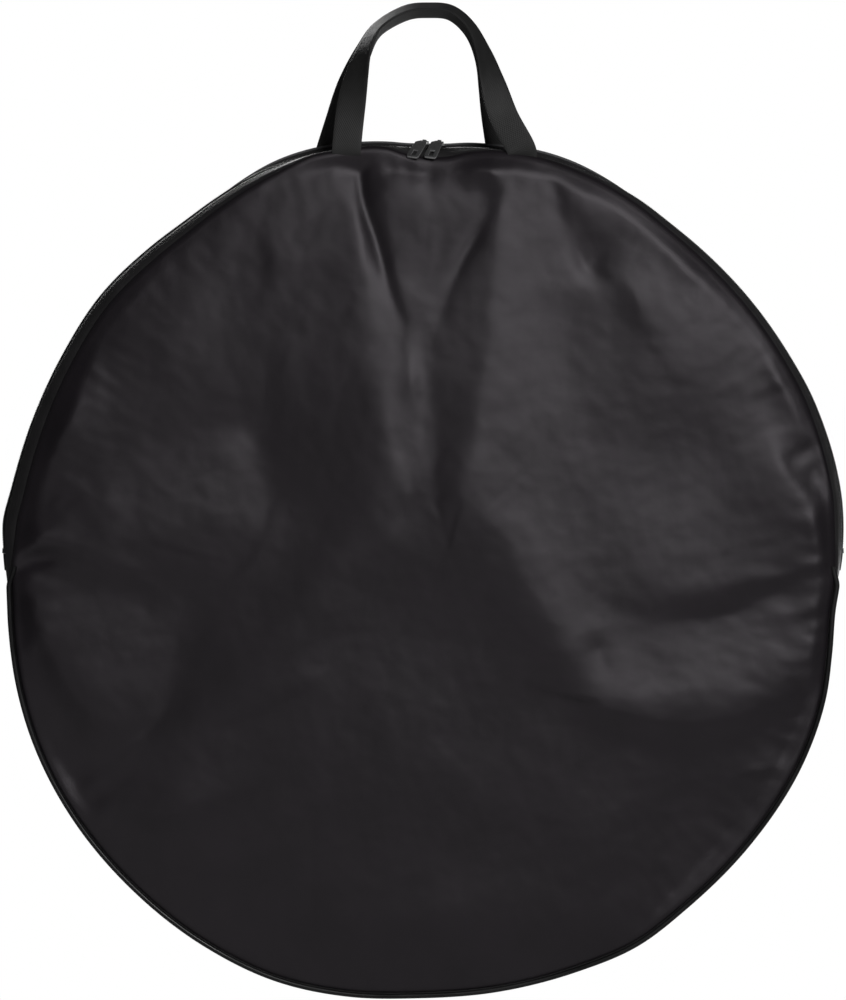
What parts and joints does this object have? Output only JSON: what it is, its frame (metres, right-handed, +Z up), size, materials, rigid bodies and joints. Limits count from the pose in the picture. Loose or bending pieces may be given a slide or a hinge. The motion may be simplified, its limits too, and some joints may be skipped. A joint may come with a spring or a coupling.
{
  "type": "bike wheel bag",
  "caption": "Round padded carry bag for one bike wheel, with a two-slider zip over its upper half, a fold-down front flap and two webbing handles.",
  "frame": {"origin": "the point under the tops of the two handle loops, where a hand or a hook holds the bag", "axes": "+Z up with the bag hanging, -Y out of the front panel, +X to the right as seen from the front"},
  "size_m": [0.7422, 0.0724, 0.8678],
  "materials": {
    "cloth": "fine plain-weave black polyester with a slight satin sheen",
    "padding": "grey foam padding with a smooth lining",
    "guard_sheet": "thin black plastic sheet",
    "band": "black polyester band cloth",
    "zip_tape": "black woven zip tape",
    "zip_chain": "black nylon zip chain",
    "zip_metal": "dark grey coated metal, worn brighter on its edges",
    "piping": "glossy black vinyl piping",
    "webbing": "smooth matt black webbing"
  },
  "bodies": {
    "shell": {"back_cloth": "cloth", "back_padding": "padding", "back_hub_guard": "guard_sheet", "lower_front_cloth": "cloth", "lower_front_padding": "padding", "lower_front_hub_guard": "guard_sheet", "zip_band_back": "band", "zip_tape_back": "zip_tape", "zip_chain_back": "zip_chain", "lower_band": "band", "piping_front": "piping", "piping_back": "piping", "zip_stop_left": "zip_metal", "zip_stop_right": "zip_metal", "zip_end_tab_left": "webbing", "zip_end_tab_right": "webbing", "handle_rear_end_left": "webbing", "handle_rear_end_right": "webbing"},
    "flap": {"flap_cloth": "cloth", "flap_padding": "padding", "flap_hub_guard": "guard_sheet", "zip_band_front": "band", "zip_tape_front": "zip_tape", "zip_chain_front": "zip_chain", "handle_front_end_left": "webbing", "handle_front_end_right": "webbing"},
    "slider_left": {"slider_left": "zip_metal"},
    "slider_right": {"slider_right": "zip_metal"},
    "pull_left": {"pull_left": "zip_metal"},
    "pull_right": {"pull_right": "zip_metal"},
    "handle_front": {"handle_front": "webbing"},
    "handle_rear": {"handle_rear": "webbing"}
  },
  "joints": [
    {"name": "flap_fold", "type": "hinge", "parent": "shell", "child": "flap", "pos_m": [0, -0.0375, -0.47332], "axis": [1, 0, 0], "range_deg": [0, 150]},
    {"name": "slider_left_run", "type": "hinge", "parent": "shell", "child": "slider_left", "pos_m": [0, 0, -0.48532], "axis": [0, 1, 0], "range_deg": [-85.2, 0]},
    {"name": "slider_right_run", "type": "hinge", "parent": "shell", "child": "slider_right", "pos_m": [0, 0, -0.48532], "axis": [0, 1, 0], "range_deg": [0, 82.9]},
    {"name": "pull_left_swing", "type": "hinge", "parent": "slider_left", "child": "pull_left", "pos_m": [0.00122, 0, -0.10987], "axis": [1, 0, -0.0032], "range_deg": [-150, 0]},
    {"name": "pull_right_swing", "type": "hinge", "parent": "slider_right", "child": "pull_right", "pos_m": [0.01421, 0, -0.11014], "axis": [0.9993, 0, -0.0378], "range_deg": [-150, 0]},
    {"name": "handle_front_fall", "type": "hinge", "parent": "flap", "child": "handle_front", "pos_m": [0, -0.02625, -0.11932], "axis": [1, 0, 0], "range_deg": [0, 165]},
    {"name": "handle_rear_fall", "type": "hinge", "parent": "shell", "child": "handle_rear", "pos_m": [0, 0.02625, -0.11932], "axis": [1, 0, 0], "range_deg": [-165, 0]}
  ],
  "couplings": [
    {"joint": "slider_left_run", "follows": "flap_fold", "ratio": -0.5679},
    {"joint": "slider_right_run", "follows": "flap_fold", "ratio": 0.5522}
  ]
}
